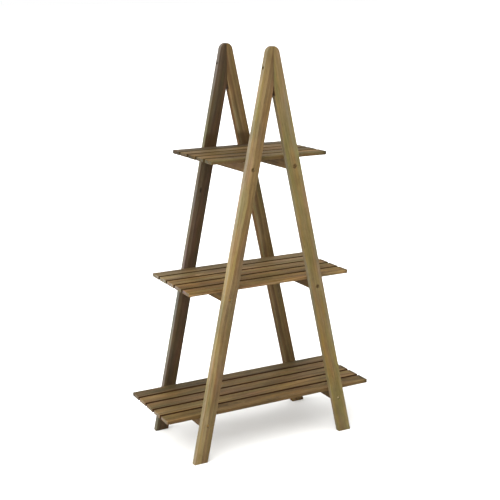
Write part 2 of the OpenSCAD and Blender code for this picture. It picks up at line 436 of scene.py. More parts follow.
def sawn_grain(sizes):
    """Group that paints a sawn board as a cut through a log: growth zones round a pith that
    lies outside the board, finer fibres, open pores, pin knots, sapwood, paler sanded edges and
    dull end grain. It works in millimetres in the board's own space, with the board's middle at
    zero: X runs along the grain, and the faces towards Y are the flanks."""
    tree, given, add = new_group(
        "Sawn Board Grain",
        "ShaderNodeTree",
        {
            "Vector": "Middle, Turn, Half Size, Pith",
            "Float": "Sap Start, Seed, Tone, Rise, Flank Tone, End Tone, Figure, Patchiness, "
            "Hue Drift, Cast, Weathering, Stain",
            "Color": "Heart, Vein, Sap, Flank, End, Stain Tint",
        },
        {"Color": "Colour", "Float": "Roughness, Relief"},
    )
    if not add:
        return tree
    seed = given["Seed"]
    coordinates = add("ShaderNodeTexCoord").node.outputs
    board = {"Vector": coordinates["Object"], "Location": given["Middle"], "Rotation": given["Turn"]}
    place = add("ShaderNodeMapping", {**board, "Scale": (MM, MM, MM)}, vector_type="TEXTURE")

    def clouds(at, size, detail, roughness=0.5, shift=seed, out=None):
        """Noise whose clouds have a length along the grain and a width across it"""
        along, across = size
        at = add(VECTOR, [at, (1 / along, 1 / across, 1 / across)], "MULTIPLY")
        noise = {"Vector": at, "W": shift, "Scale": 1, "Detail": detail, "Roughness": roughness}
        return add(NOISE, noise, out=out, noise_dimensions="4D")

    # The log isn't straight: its growth zones wander slowly along the board, and wobble
    bends = []
    for reach, size, detail in ((sizes.wander / MM, BEND, 1), (sizes.wobble / MM, WOBBLE, 2)):
        bend = clouds(place, size, detail, out="Color")
        both_ways = [(0, reach, reach), (0, -reach / 2, -reach / 2)]
        bends.append(add(VECTOR, [bend, *both_ways], "MULTIPLY_ADD"))
    grown = add(VECTOR, [place, add(VECTOR, bends, "ADD")], "ADD")

    # A pin knot in one cell of eight: the growth zones flow round it
    along, across = KNOT_CELL
    knot_at = add(VECTOR, [grown, (1 / along, 1 / across, 1 / across), seed], "MULTIPLY_ADD")
    cells = add("ShaderNodeTexVoronoi", {"Vector": knot_at, "Scale": 1}).node.outputs
    chosen = add(RANGE, [add(SPLIT, [cells["Color"]]), 0.85, 0.88, 0, 1])
    swell = add(RANGE, [cells["Distance"], 0.04, 0.42, 1, 0], **SMOOTH)
    swell = add(MATH, [swell, chosen], "MULTIPLY")
    knot = add(RANGE, [cells["Distance"], 0.06, 0.13, 1, 0], **SMOOTH)
    knot = add(MATH, [knot, chosen], "MULTIPLY")

    # Distance from the pith, and the growth zones as bands of uneven width on it
    from_pith = add(VECTOR, [grown, given["Pith"]], "SUBTRACT")
    from_pith = add(VECTOR, [from_pith, (0, 1, 1)], "MULTIPLY")
    radius = add(VECTOR, [from_pith], "LENGTH", out="Value")
    ring_at = add(MATH, [radius, MM / sizes.ring_gap], "MULTIPLY")
    ring_at = weighted(add, ring_at, (seed, 17.3), (swell, 2.4))
    rings = {"W": ring_at, "Scale": 1, "Detail": 3, "Roughness": 0.6}
    rings = add(RANGE, [add(NOISE, rings, noise_dimensions="1D"), 0.36, 0.64, 0, 1], **SMOOTH)

    # Fibres and pores are the same noise drawn out along the grain at two scales
    fibres = clouds(grown, (sizes.fibre_length / MM, sizes.fibre_gap / MM), 3, 0.6)
    fibres = add(RANGE, [fibres, 0.33, 0.67, 0, 1])
    pores = clouds(grown, (sizes.pore_length / MM, sizes.pore_gap / MM), 0)
    pores = add(RANGE, [pores, 0.6, 0.7, 0, 1])

    # Broad patches, as oil sinks in unevenly, and smaller blotches in them
    patches = add(RANGE, [clouds(place, PATCH, 2), 0.3, 0.7, 0, 1])
    swing = add(MATH, [patches, 0.5], "SUBTRACT")
    swing = add(MATH, [swing, given["Patchiness"]], "MULTIPLY")
    blotches = add(RANGE, [clouds(grown, BLOTCH, 2), 0.32, 0.68, -0.5, 0.5])

    # Minerals turn stretches of the wood redder, greener or greyer
    apart = add(MATH, [seed, 5.0], "ADD")
    hue = clouds(grown, MINERAL_STREAK, 2, shift=apart, out="Color")
    hue = add(VECTOR, [hue, (0.5, 0.5, 0.5)], "SUBTRACT")
    hue = add(VECTOR, [hue, given["Hue Drift"]], "SCALE")
    hue = add(VECTOR, [hue, HUE_SWING, (1, 1, 1)], "MULTIPLY_ADD")
    cast = add(VECTOR, [FULL_CAST, given["Cast"]], "SCALE")
    hue = add(VECTOR, [hue, cast], "ADD")

    # Sapwood starts at a distance from the pith, with a soft and slightly ragged border
    ragged = weighted(add, radius, (fibres, SAP_RAGGED))
    beyond = add(MATH, [ragged, given["Sap Start"]], "SUBTRACT")
    sapwood = add(RANGE, [beyond, 0, SAP_BORDER, 0, 1], **SMOOTH)

    # On the surface one of the three distances to the board's faces is nothing, so the middle
    # one is the distance to the nearest edge
    depth = add(VECTOR, [given["Half Size"], add(VECTOR, [place], "ABSOLUTE")], "SUBTRACT")
    depth_x, depth_y, depth_z = add(SPLIT, [depth]).node.outputs
    nearer = add(MATH, [depth_y, depth_z], "MINIMUM")
    farther = add(MATH, [depth_y, depth_z], "MAXIMUM")
    farther = add(MATH, [farther, depth_x], "MINIMUM")
    to_edge = add(MATH, [nearer, farther], "MAXIMUM")
    wear = add(RANGE, [to_edge, 0, sizes.wear / MM, 1, 0], **SMOOTH)
    wear = add(MATH, [wear, patches], "MULTIPLY")

    # Flanks and end grain, by the way that the surface faces in the board's space. The sun paled
    # both ends, and the end towards +X was dipped in oil
    facing = add(
        "ShaderNodeVectorRotate",
        {"Vector": coordinates["Normal"], "Rotation": given["Turn"]},
        rotation_type="EULER_XYZ",
        invert=True,
    )
    facing_x, facing_y, _ = add(SPLIT, [add(VECTOR, [facing], "ABSOLUTE")]).node.outputs
    ends = add(RANGE, [facing_x, 0.75, 0.95, 0, 1], **SMOOTH)
    flanks = add(RANGE, [facing_y, 0.6, 0.8, 0, 1], **SMOOTH)
    soaked = add(RANGE, [depth_x, 0, DIPPED_REACH, 1, 0], **SMOOTH)
    soaked = add(MATH, [soaked, ends], "SUBTRACT", use_clamp=True)
    along_x = add(SPLIT, [place])
    dipped = add(RANGE, [along_x, -1, 1, 0, DIPPED_END])
    soaked = add(MATH, [soaked, dipped], "MULTIPLY")
    bleached = add(RANGE, [depth_x, *BLEACHED_REACH, BLEACHED_END, 0], **SMOOTH)

    # Colour, from the ground up
    tint = add(MIX, [sapwood, given["Heart"], given["Sap"]], **RGB)
    for where, part in ((flanks, "Flank"), (ends, "End")):
        side = add(VECTOR, [given[part], given[part + " Tone"]], "SCALE")
        tint = add(MIX, [where, tint, side], **RGB)
    share = weighted(add, 1.0, (sapwood, -0.45))
    share = add(MATH, [share, given["Figure"]], "MULTIPLY")
    share = add(MATH, [share, rings], "MULTIPLY")
    share = add(MATH, [knot, weighted(add, share, (fibres, 0.28))], "MAXIMUM")
    tint = add(MIX, [share, tint, given["Vein"]], clamp_factor=True, **RGB)
    light = weighted(
        add,
        0.72,
        (given["Tone"], 0.8),
        (swing, 1.0),
        (blotches, 0.22),
        (wear, 0.22),
        (pores, -0.3),
        (soaked, -1.0),
        (bleached, 1.0),
    )
    rise = add(MATH, [given["Rise"], 1 / RISE_SPAN], "MULTIPLY")
    light = weighted(add, light, (along_x, rise))
    tint = add(VECTOR, [tint, hue], "MULTIPLY")
    tint = add(VECTOR, [tint, light], "SCALE")
    grey = add(VECTOR, [WEATHERED, add("ShaderNodeRGBToBW", [tint])], "SCALE")
    tint = add(MIX, [given["Weathering"], tint, grey], **RGB)
    dark = add(VECTOR, [given["Stain Tint"], weighted(add, 0.7, (fibres, 0.6))], "SCALE")
    tint = add(MIX, [given["Stain"], tint, dark], **RGB)

    rough = weighted(add, 0.56, (fibres, 0.1), (ends, 0.2), (wear, 0.1))
    relief = weighted(add, 1.0, (pores, -1.0), (fibres, -0.4), (rings, -0.3), (knot, -0.8))
    add("NodeGroupOutput", {"Colour": tint, "Roughness": rough, "Relief": relief})
    return tree


GLUE_START = 16 * MM  # below the crotch, where the glue starts to show
# The slit and the line along the mitre: distances from it, from a full stain to none
SLIT_EDGE, LINE_EDGE = (1.4 * MM, 2.8 * MM), (0.8 * MM, 3.4 * MM)
SLIT_TOP = (5 * MM, 17 * MM)  # heights over the crotch, from a full stain to none
LINE_FADE, LINE_PALE = (0.42, 0.18), 100 * MM  # strength at the crotch, and from that height up
SOAKED_REACH = (115 * MM, 35 * MM)  # below the top of a leg, from no stain to a full one
BAND_REACH = (31 * MM, 46 * MM)  # over the top shelf, from a full stain to none
BRUISE_RAGS = 3.125 * MM  # width of the rags of torn fibres at its edge
BRUISE_FADE = 1.35  # where a bruise has faded out, as a share of its reach


def leg_stains(add, bruises, top, band):
    """Stains of a leg: along the mitre of its apex, where glue and oil squeezed out, a dark slit
    at the crotch and a soft line above it, and ragged patches of bruised fibres round screw
    heads, each given by its middle, its reach and its strength. top says how dark the rounded
    top is, which soaked up oil, and band how dark the front is just above the top shelf."""
    coordinates = add("ShaderNodeTexCoord").node.outputs
    place = coordinates["Object"]
    x, _, z = add(SPLIT, [place]).node.outputs
    above = add(MATH, [z, CROTCH_Z], "SUBTRACT")
    started = add(MATH, [above, -GLUE_START], "GREATER_THAN")
    below = add(MATH, [above, 0], "MINIMUM")
    aside = weighted(add, add(MATH, [x], "ABSOLUTE"), (below, math.tan(LEAN)))
    slit = add(RANGE, [aside, *SLIT_EDGE, 1, 0], **SMOOTH)
    slit = add(MATH, [slit, add(RANGE, [above, *SLIT_TOP, 1, 0])], "MULTIPLY")
    line = add(RANGE, [aside, *LINE_EDGE, 1, 0], **SMOOTH)
    line = add(MATH, [line, add(RANGE, [above, 0, LINE_PALE, *LINE_FADE])], "MULTIPLY")
    stain = add(MATH, [slit, line], "MAXIMUM")
    stain = add(MATH, [stain, started], "MULTIPLY")
    if top:
        low, high = (TOP_Z - reach for reach in SOAKED_REACH)
        soaked = add(RANGE, [z, low, high, 0, top])
        stain = add(MATH, [stain, soaked], "ADD", use_clamp=True)
    if band:
        _, facing, _ = add(SPLIT, [coordinates["Normal"]]).node.outputs
        front = add(MATH, [facing, -0.5], "LESS_THAN")
        risen = add(MATH, [z, SHELF_Z], "GREATER_THAN")
        front = add(MATH, [front, risen], "MULTIPLY")
        low, high = (SHELF_Z + reach for reach in BAND_REACH)
        gathered = add(RANGE, [z, low, high, band, 0])
        gathered = add(MATH, [gathered, front], "MULTIPLY")
        stain = add(MATH, [stain, gathered], "MAXIMUM")
    ragged = add(NOISE, {"Vector": place, "Scale": 1 / BRUISE_RAGS, "Detail": 2})
    for middle, reach, strength in bruises:
        away = add(VECTOR, [place, middle], "DISTANCE", out="Value")
        away = weighted(add, away, (ragged, reach))
        patch = add(RANGE, [away, reach, BRUISE_FADE * reach, strength, 0], **SMOOTH)
        stain = add(MATH, [stain, patch], "MAXIMUM")
    return stain


CLEAN_RIM = 4 * MM  # how far in from a shelf's front and back the stains start
GAP_BLEED = 2.2 * MM  # how far the stain bleeds over the edges of a slat


def gap_stain(add):
    """Stain in the gaps between slats, where the sawn flanks soaked up oil that nobody wiped
    off: it covers the flanks in the gaps, and bleeds over their edges."""
    coordinates = add("ShaderNodeTexCoord").node.outputs
    _, y, _ = add(SPLIT, [coordinates["Object"]]).node.outputs
    inside = add(MATH, [add(MATH, [y], "ABSOLUTE"), SHELF_HALF - CLEAN_RIM], "LESS_THAN")
    _, facing, _ = add(SPLIT, [coordinates["Normal"]]).node.outputs
    flank = add(RANGE, [add(MATH, [facing], "ABSOLUTE"), 0.35, 0.8, 0, 1])
    to_middle = add(MATH, [y, SLAT_PITCH / 2], "PINGPONG")
    bleed = add(RANGE, [to_middle, SLAT_HALF - GAP_BLEED, SLAT_HALF, 0, 0.8])
    stain = add(MATH, [flank, bleed], "MAXIMUM")
    return add(MATH, [stain, inside], "MULTIPLY")


def oiled_timber(name, grain, tints, stain=None, **board):
    """Sawn and sanded hardwood under one coat of oil: a low, soft gloss that the open grain
    breaks up. tints are heartwood, veins, sapwood, flanks, end grain and stains, stain adds
    nodes that say where the surface is stained, and board feeds the grain group, with attribute
    names where a value differs between boards of one mesh."""
    material, add = new_material(name)
    fed = dict(zip(("Heart", "Vein", "Sap", "Flank", "End", "Stain Tint"), tints))
    fed.update({"Flank Tone": 1.0, "End Tone": 1.0, "Patchiness": 0.24, "Hue Drift": 0.6})
    if stain:
        fed["Stain"] = stain(add)
    for socket, value in board.items():
        if isinstance(value, str):
            kind = "Vector" if socket == "middle" else "Fac"
            value = add("ShaderNodeAttribute", out=kind, attribute_name=value)
        fed[socket.replace("_", " ").title()] = value
    painted = add("ShaderNodeGroup", fed, node_tree=sawn_grain(grain)).node.outputs
    relief = {"Strength": 0.6, "Distance": 0.25 * MM, "Height": painted["Relief"]}
    finish = {
        "Base Color": painted["Colour"],
        "Roughness": painted["Roughness"],
        "IOR": 1.47,  # dried oil
        "Specular IOR Level": 0.08,  # soaked in, so most of the surface is bare fibre
        "Normal": add("ShaderNodeBump", relief),
    }
    shader = add("ShaderNodeBsdfPrincipled", finish)
    add("ShaderNodeOutputMaterial", {"Surface": shader})
    return material


def plated_steel(name, bright, tarnish):
    """Yellow zinc-plated steel that was cold headed and tumbled: a cloudy shine. A dull brown
    film of oil and wood dust, which isn't metallic, hides it on the heads that the attribute
    screw_shine leaves low, as light or dark as the attribute screw_film says."""
    material, add = new_material(name)
    place = add("ShaderNodeTexCoord", out="Object")
    clouds = add(NOISE, {"Vector": place, "Scale": 260, "Detail": 3})  # about 4 mm wide
    shine = add("ShaderNodeAttribute", out="Fac", attribute_name="screw_shine")
    tone = add("ShaderNodeAttribute", out="Fac", attribute_name="screw_film")
    dull = add(RANGE, [clouds, 0.42, 0.66, 0, 0.6])
    film = add(MATH, [1.0, shine], "SUBTRACT")
    dull = add(MATH, [dull, film], "ADD", use_clamp=True)
    dust = add(VECTOR, [tarnish[:3], tone], "SCALE")
    scuffs = add(NOISE, {"Vector": place, "Scale": 1800, "Detail": 2})  # half a millimetre wide
    relief = {"Strength": 0.3, "Distance": 0.05 * MM, "Height": scuffs}
    finish = {
        "Base Color": add(MIX, [dull, bright, dust], **RGB),
        "Metallic": weighted(add, 1.0, (dull, -0.9)),
        "Roughness": weighted(add, 0.26, (dull, 0.4)),
        "Specular IOR Level": 0.1,  # of the film, which is matt
        "Normal": add("ShaderNodeBump", relief),
    }
    shader = add("ShaderNodeBsdfPrincipled", finish)
    add("ShaderNodeOutputMaterial", {"Surface": shader})
    return material


def dress(node, material):
    """Gives a CAD node its material."""
    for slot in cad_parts[node].material_slots:
        slot.material = material


# ---------- Geometry Nodes ----------


def grow(name, tree, points, values, **fields):
    """Runs a Geometry Nodes tree on a mesh of points and returns its result as a plain mesh
    object. values go to the tree's inputs by name, and fields hold a list of values, one for
    each point, by attribute name."""
    mesh = bpy.data.meshes.new(name + "_places")
    mesh.from_pydata(points, [], [])
    for attribute, entries in fields.items():
        plain = isinstance(entries[0], (int, float))
        layer = mesh.attributes.new(attribute, "FLOAT" if plain else "FLOAT_VECTOR", "POINT")
        for item, entry in zip(layer.data, entries):
            setattr(item, "value" if plain else "vector", entry)
    host = bpy.data.objects.new(name + "_places", mesh)
    bpy.context.scene.collection.objects.link(host)
    modifier = host.modifiers.new(tree.name, "NODES")
    modifier.node_group = tree
    for socket in tree.interface.items_tree:
        if socket.in_out == "INPUT" and socket.name in values:
            modifier[socket.identifier] = values[socket.name]
    evaluated = host.evaluated_get(bpy.context.evaluated_depsgraph_get())
    result = bpy.data.meshes.new_from_object(evaluated)
    bpy.data.objects.remove(host)
    bpy.data.meshes.remove(mesh)
    if not result.polygons:
        raise RuntimeError(f"{name}: Geometry Nodes made no faces")
    result.name = name
    piece = bpy.data.objects.new(name, result)
    bpy.context.scene.collection.objects.link(piece)
    return piece


def stand_for(piece, slot, *nodes):
    """Lets a piece stand for CAD nodes, with the finish of a material slot."""
    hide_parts(*nodes)
    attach(piece, "root")


def finish_copies(add, given, shape, turn=None):
    """Adds the end of a tree: the shape on every point, made real, in the tree's material."""
    placed = {"Points": given["Points"], "Instance": shape}
    if turn:
        placed["Rotation"] = turn
    copies = add("GeometryNodeInstanceOnPoints", placed)
    copies = add("GeometryNodeRealizeInstances", {"Geometry": copies})
    copies = add("GeometryNodeSetMaterial", {"Geometry": copies, "Material": given["Material"]})
    add("NodeGroupOutput", [copies])


def eased_boards():
    """Tree: a board with eased, slightly uneven edges on every point. A box of 2 x 2 x 2 has
    its outer rows drawn together near the edges, and what lies outside the box shrunk by the
    edge radius is drawn in to that radius."""
    tree, given, add = new_group(
        "Eased Boards",
        "GeometryNodeTree",
        {
            "Geometry": "Points",
            "Float": "Length, Width, Thickness, Edge Radius, Edge Wander, Wander Pitch, Seed",
            "Material": "Material",
        },
        {"Geometry": "Boards"},
    )
    if not add:
        return tree
    rim = 3  # rows of faces from a face's flat part to its edge
    rows = {"X": 26, "Y": 4, "Z": 2}  # rows of faces across the flat part
    counts = {f"Vertices {axis}": rows[axis] + 2 * rim + 1 for axis in rows}
    box = add("GeometryNodeMeshCube", {"Size": (2, 2, 2), **counts}, out="Mesh")
    sides = add(SPLIT, [add("GeometryNodeInputPosition")]).node.outputs

    # Each of the long edges has its own softer places, drawn from its own stretch of the noise
    run = add(MATH, [given["Length"], 0.5], "MULTIPLY")
    run = add(MATH, [sides["X"], run], "MULTIPLY")
    run = add(MATH, [run, given["Wander Pitch"]], "DIVIDE")
    front_or_back, top_or_bottom = (add(MATH, [sides[axis]], "SIGN") for axis in "YZ")
    corner = weighted(add, run, (front_or_back, 2.0), (top_or_bottom, 40.0), (given["Seed"], 91.0))
    uneven = add(NOISE, {"W": corner, "Scale": 1, "Detail": 1}, noise_dimensions="1D")
    uneven = add(RANGE, [uneven, 0.3, 0.7, 0, 1])
    uneven = add(MATH, [uneven, given["Edge Wander"]], "MULTIPLY")
    uneven = add(MATH, [1.0, uneven], "SUBTRACT")
    radius = add(MATH, [uneven, given["Edge Radius"]], "MULTIPLY")

    outer, core = [], []
    for axis, size in (("X", "Length"), ("Y", "Width"), ("Z", "Thickness")):
        flat = rows[axis] / (rows[axis] + 2 * rim)
        half = add(MATH, [given[size], 0.5], "MULTIPLY")
        inner = add(MATH, [half, radius], "SUBTRACT")
        share = add(MATH, [sides[axis]], "ABSOLUTE")
        sign = add(MATH, [sides[axis]], "SIGN")
        middle_part = add(RANGE, [share, 0, flat, 0, inner])
        rim_part = add(RANGE, [share, flat, 1, 0, radius])
        total = add(MATH, [middle_part, rim_part], "ADD")
        outer.append(add(MATH, [total, sign], "MULTIPLY"))
        core.append(add(MATH, [middle_part, sign], "MULTIPLY"))
    core = add(JOIN, core)
    away = add(VECTOR, [add(JOIN, outer), core], "SUBTRACT")
    away = add(VECTOR, [away], "NORMALIZE")
    away = add(VECTOR, [away, radius], "SCALE")
    eased = add(VECTOR, [core, away], "ADD")
    board = add("GeometryNodeSetPosition", {"Geometry": box, "Position": eased})
    finish_copies(add, given, board)
    return tree


SHANK_SIDES, HEAD_SIDES = 16, 32
THREAD_CORE, TIP_WIDTH = 0.68, 0.3  # as shares of the width of the shank
THREAD_FLANK = (0.12, 0.46)  # from the root of the thread to its crest, as shares of a turn
HEAD_OVERLAP = 0.4  # how far the shank runs up into its head, as a share of the head's height


def threaded_shank():
    """Group: a shank from z = 0 down to its tip, plain at first and then threaded. A closed
    cylinder has its rings moved out and in as the thread passes."""
    tree, given, add = new_group(
        "Threaded Shank",
        "GeometryNodeTree",
        {"Float": "Width, Length, Plain Length, Pitch", "Int": "Rows"},
        {"Geometry": "Shank"},
    )
    if not add:
        return tree
    rod = {"Vertices": SHANK_SIDES, "Side Segments": given["Rows"], "Radius": 1.0, "Depth": 1.0}
    rod = add("GeometryNodeMeshCylinder", rod, out="Mesh")
    x, y, z = add(SPLIT, [add("GeometryNodeInputPosition")]).node.outputs
    down = add(MATH, [0.5, z], "SUBTRACT")
    down = add(MATH, [down, given["Length"]], "MULTIPLY")
    turn = add(MATH, [y, x], "ARCTAN2")
    turn = add(MATH, [turn, 1 / (2 * math.pi)], "MULTIPLY")
    thread = add(MATH, [down, given["Plain Length"]], "SUBTRACT")
    started = add(RANGE, [thread, 0, given["Pitch"], 0, 1])
    thread = add(MATH, [thread, given["Pitch"]], "DIVIDE")
    thread = add(MATH, [thread, turn], "ADD")
    ridge = add(MATH, [thread, 0.5], "PINGPONG")
    ridge = add(RANGE, [ridge, *THREAD_FLANK, THREAD_CORE, 1.0])
    reach = add(MIX, [started, 1.0, ridge], data_type="FLOAT")
    left = add(MATH, [given["Length"], down], "SUBTRACT")
    point = add(RANGE, [left, 0, given["Width"], TIP_WIDTH, 1.0])
    for share in (point, given["Width"], 0.5):
        reach = add(MATH, [reach, share], "MULTIPLY")
    x, y = (add(MATH, [side, reach], "MULTIPLY") for side in (x, y))
    shaped = add(JOIN, [x, y, add(MATH, [down, -1.0], "MULTIPLY")])
    add("NodeGroupOutput", [add("GeometryNodeSetPosition", {"Geometry": rod, "Position": shaped})])
    return tree


SHARP_EDGE = math.radians(28)  # bend between two faces of a screw that shows as an edge


def fitted_screws(name, cross):
    """Tree: a screw on every point, its head's top at the point, looking along the attribute
    aim. The head is a cylinder or a countersunk cone with an eased rim, and its drive is a
    hexagon or a cross."""
    tree, given, add = new_group(
        name,
        "GeometryNodeTree",
        {
            "Geometry": "Points",
            "Float": "Head Width, Seat Width, Head Height, Rim, Shank Width, Shank Length, "
            "Plain Length, Pitch, Drive Width, Drive Arm, Drive Depth",
            "Int": "Rows, Seed",
            "Material": "Material",
        },
        {"Geometry": "Screws"},
    )
    if not add:
        return tree
    height, rim = given["Head Height"], given["Rim"]
    wide = add(MATH, [given["Head Width"], 0.5], "MULTIPLY")
    narrow = add(MATH, [wide, rim], "SUBTRACT")
    seat = add(MATH, [given["Seat Width"], 0.5], "MULTIPLY")
    body = add(MATH, [height, rim], "SUBTRACT")

    # Body and rim of the head: Blender's cone stands on z = 0 and grows upwards. The shank
    # starts inside the head, so that they join
    parts = []
    for tall, upper, lower, deep in ((body, wide, seat, height), (rim, narrow, wide, rim)):
        cone = {"Vertices": HEAD_SIDES, "Radius Top": upper, "Radius Bottom": lower, "Depth": tall}
        cone = add("GeometryNodeMeshCone", cone, out="Mesh")
        lift = add(JOIN, {"Z": add(MATH, [deep, -1.0], "MULTIPLY")})
        parts.append(add(TURN, {"Geometry": cone, "Translation": lift}))
    sizes = {"Width": given["Shank Width"], "Pitch": given["Pitch"], "Rows": given["Rows"]}
    for socket, under_head in (("Length", "Shank Length"), ("Plain Length", "Plain Length")):
        sizes[socket] = weighted(add, given[under_head], (height, HEAD_OVERLAP))
    shank = add("GeometryNodeGroup", sizes, node_tree=threaded_shank())
    lift = add(JOIN, {"Z": add(MATH, [height, HEAD_OVERLAP - 1.0], "MULTIPLY")})
    parts.append(add(TURN, {"Geometry": shank, "Translation": lift}))
    joined = add(CUT, operation="UNION", solver="EXACT").node
    for part in parts:
        tree.links.new(part, joined.inputs["Mesh 2"])

    # The drive is cut out of the head: a prism of six sides, or two crossing bars
    cut = add(CUT, operation="DIFFERENCE", solver="EXACT").node
    tree.links.new(joined.outputs[0], cut.inputs["Mesh 1"])
    arm, width = given["Drive Arm"], given["Drive Width"]
    deep = add(MATH, [given["Drive Depth"], 2.0], "MULTIPLY")
    if cross:
        for sides in ((arm, width), (width, arm)):
            bar = {"Size": add(JOIN, [*sides, deep])}
            tree.links.new(add("GeometryNodeMeshCube", bar, out="Mesh"), cut.inputs["Mesh 2"])
    else:
        prism = {"Vertices": 6, "Radius": add(MATH, [width, 0.5], "MULTIPLY"), "Depth": deep}
        tree.links.new(add("GeometryNodeMeshCylinder", prism, out="Mesh"), cut.inputs["Mesh 2"])
    screw = add("GeometryNodeSetShadeSmooth", {"Geometry": cut.outputs[0], "Shade Smooth": True})
    bend = add("GeometryNodeInputMeshEdgeAngle")
    sharp = add("FunctionNodeCompare", [bend, SHARP_EDGE], "GREATER_THAN", data_type="FLOAT")
    sharp = {"Geometry": screw, "Selection": sharp, "Shade Smooth": False}
    screw = add("GeometryNodeSetShadeSmooth", sharp, domain="EDGE")

    # Each screw stopped at its own angle
    aim = add("GeometryNodeInputNamedAttribute", {"Name": "aim"}, data_type="FLOAT_VECTOR")
    turn = add("FunctionNodeAlignRotationToVector", {"Vector": aim}, axis="Z")
    spin = {"Min": 0.0, "Max": 2 * math.pi, "Seed": given["Seed"]}
    spin = add("FunctionNodeRandomValue", spin, data_type="FLOAT")
    spin = add("FunctionNodeAxisAngleToRotation", {"Axis": (0, 0, 1), "Angle": spin})
    turn = {"Rotation": turn, "Rotate By": spin}
    turn = add("FunctionNodeRotateRotation", turn, rotation_space="LOCAL")
    finish_copies(add, given, screw, turn)
    return tree


FLUTE_SIDES, DOWEL_ROWS = 6.0, 26  # faces across a flute and along a dowel


def fluted_dowels():
    """Tree: a dowel on every point, centred on it and lying along X, with flutes round it and
    chamfered ends. A cylinder's rings are drawn in where a flute or a chamfer is."""
    tree, given, add = new_group(
        "Fluted Dowels",
        "GeometryNodeTree",
        {
            "Geometry": "Points",
            "Float": "Width, Length, Flute Depth, Chamfer",
            "Int": "Flutes",
            "Material": "Material",
        },
        {"Geometry": "Dowels"},
    )
    if not add:
        return tree
    around = add(MATH, [given["Flutes"], FLUTE_SIDES], "MULTIPLY")
    rod = {"Vertices": around, "Side Segments": DOWEL_ROWS, "Radius": 1.0, "Depth": 1.0}
    rod = add("GeometryNodeMeshCylinder", rod, out="Mesh")
    x, y, z = add(SPLIT, [add("GeometryNodeInputPosition")]).node.outputs
    wave = add(MATH, [add(MATH, [y, x], "ARCTAN2"), given["Flutes"]], "MULTIPLY")
    wave = add(RANGE, [add(MATH, [wave], "COSINE"), -1, 1, 0, 1])
    groove = add(MATH, [wave, given["Flute Depth"]], "MULTIPLY")
    run = add(MATH, [z, given["Length"]], "MULTIPLY")
    half = add(MATH, [given["Length"], 0.5], "MULTIPLY")
    left = add(MATH, [half, add(MATH, [run], "ABSOLUTE")], "SUBTRACT")
    drawn = add(RANGE, [left, 0, given["Chamfer"], given["Chamfer"], 0])
    drawn = add(MATH, [drawn, groove], "MAXIMUM")
    reach = add(MATH, [given["Width"], 0.5], "MULTIPLY")
    reach = add(MATH, [reach, drawn], "SUBTRACT")
    x, y = (add(MATH, [side, reach], "MULTIPLY") for side in (x, y))
    shaped = add(JOIN, [run, x, y])
    rod = add("GeometryNodeSetPosition", {"Geometry": rod, "Position": shaped})
    finish_copies(add, given, rod)
    return tree


# ---------- operators ----------

# Timber of each leg, with its pith and the start of its sapwood in millimetres in its own space
TIMBER_TERMS = ("seed", "pith", "sap_start", "figure", "hue_drift", "rise")
LEG_TIMBER = {
    "front_left": (3.1, (0, -62, -30), 77.5, 0.28, 1.0, 0.07),
    "front_right": (48.5, (0, 70, -45), 95.5, 0.18, 1.3, 0.0),
    "back_left": (59.2, (0, -55, -60), 93.5, 0.4, 1.2, 0.0),
    "back_right": (118.2, (0, -60, -40), 87.5, 0.5, 1.0, 0.15),
}
# Screws that were driven too hard: shelf, and the patch's drop below the head, reach (mm), strength
BRUISES = {
    "front_left": (("top", 2, 7.5, 0.65),),
    "front_right": (("top", 1.5, 10, 0.75), ("middle", 0, 7.5, 0.8), ("top", -10, 32, 0.13)),
}
APEX_BRUISE = (7.5 * MM, 0.95)  # reach and strength of the one round an apex screw
# How dark the rounded tops are with oil, and the legs just above the top shelf, where it gathered
SOAKED_TOPS = {"front_left": 0.46, "front_right": 0.1, "back_left": 0.12}
SOAKED_BANDS = {"back_left": 0.68, "back_right": 0.66}


class LADDER_OT_legs(Operator):
    """Gives the four legs their timber, each cut from its own place in the log"""

    bl_idname = "ladder.legs"
    bl_label = "Dress Legs"

    def execute(self, context):
        stand = context.scene.ladder_stand
        legs = stand.legs
        for corner, timber in LEG_TIMBER.items():
            end, side = corner.split("_")
            node = corner + "_leg"
            x_side = 1 if side == "right" else -1
            middle = middle_of(node)
            bruises = []
            for shelf, drop, reach, strength in BRUISES.get(corner, ()):
                x, z, _ = screw_row(f"{shelf}_leg_screws")
                place = (x_side * x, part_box(node)[0].y, z - drop * MM)
                bruises.append((place, reach * MM, strength))
            if side == "left":
                low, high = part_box(f"{end}_apex_screw")
                bruises.append(((low.x, middle.y, (low.z + high.z) / 2), *APEX_BRUISE))
            top, band = SOAKED_TOPS.get(corner, 0.0), SOAKED_BANDS.get(corner, 0.0)
            tints = [getattr(legs, f"{corner}_{part}") for part in LEG_PARTS]
            # Given as twice as long as it is, so that its ends are neither soaked nor bleached
            half_size = (size_of(node).z / MM, LEG_W / 2 / MM, LEG_T / 2 / MM)
            material = oiled_timber(
                f"oiled acacia, {end} {side} leg",
                stand.grain,
                [*tints, legs.end, legs.stain],
                stain=lambda add: leg_stains(add, bruises, top, band),
                middle=leg_middle(x_side, middle.y, middle.z),
                turn=leg_turn(x_side),
                half_size=half_size,
                tone=0.5,
                patchiness=0.36,
                **dict(zip(TIMBER_TERMS, timber)),
            )
            dress(node, material)
        return {"FINISHED"}


